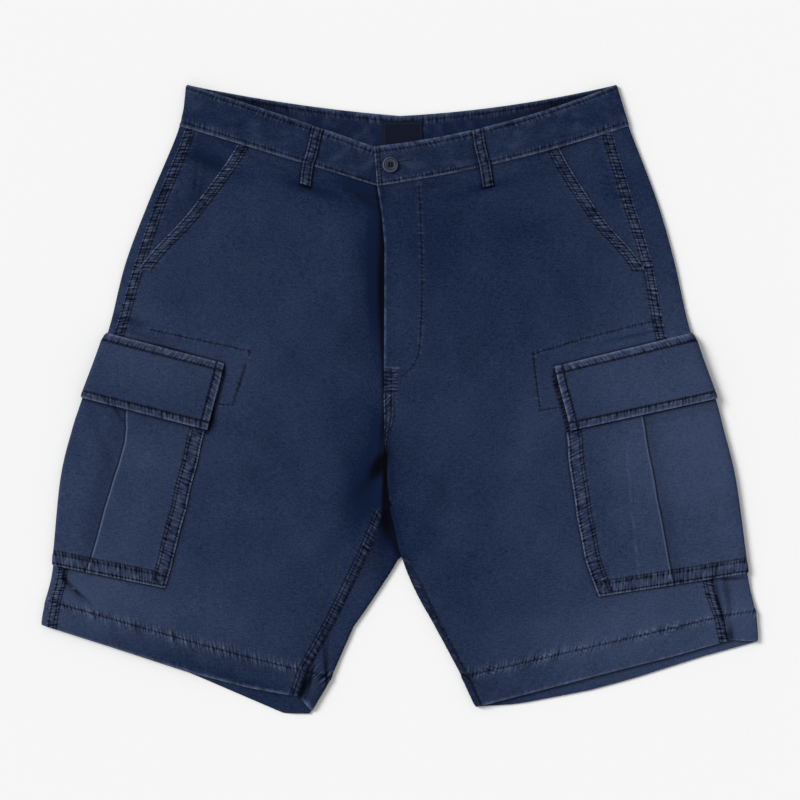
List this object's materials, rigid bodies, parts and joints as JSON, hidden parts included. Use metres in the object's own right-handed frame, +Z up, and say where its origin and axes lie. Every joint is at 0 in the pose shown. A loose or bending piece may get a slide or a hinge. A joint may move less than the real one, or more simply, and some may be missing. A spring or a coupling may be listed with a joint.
{
  "type": "cargo shorts",
  "caption": "Cargo shorts laid flat, front up: waistband with belt loops and a buttoned fly, slanted hip pockets, pleated cargo pockets with flaps.",
  "frame": {"origin": "on the surface the shorts lie on, at the centre of their outline", "axes": "+X towards the wearer's left side, +Y towards the waist, +Z up out of the surface, through the back and then the front"},
  "size_m": [0.7181, 0.6297, 0.0128],
  "materials": {
    "navy_cotton": "washed navy cotton canvas, matt, paler along the seams and folded edges",
    "button_plastic": "dark slate blue moulded button with a low sheen",
    "label_weave": "near-black woven satin, blank"
  },
  "bodies": {
    "root": {"front_right": "navy_cotton", "back_right": "navy_cotton", "waistband_right": "navy_cotton", "hip_pocket_facing_right": "navy_cotton", "cargo_pocket_right": "navy_cotton", "cargo_flap_right": "navy_cotton", "belt_loop_right": "navy_cotton", "front_left": "navy_cotton", "back_left": "navy_cotton", "waistband_left": "navy_cotton", "hip_pocket_facing_left": "navy_cotton", "cargo_pocket_left": "navy_cotton", "cargo_flap_left": "navy_cotton", "belt_loop_left": "navy_cotton", "button": "button_plastic", "label": "label_weave"}
  },
  "joints": []
}
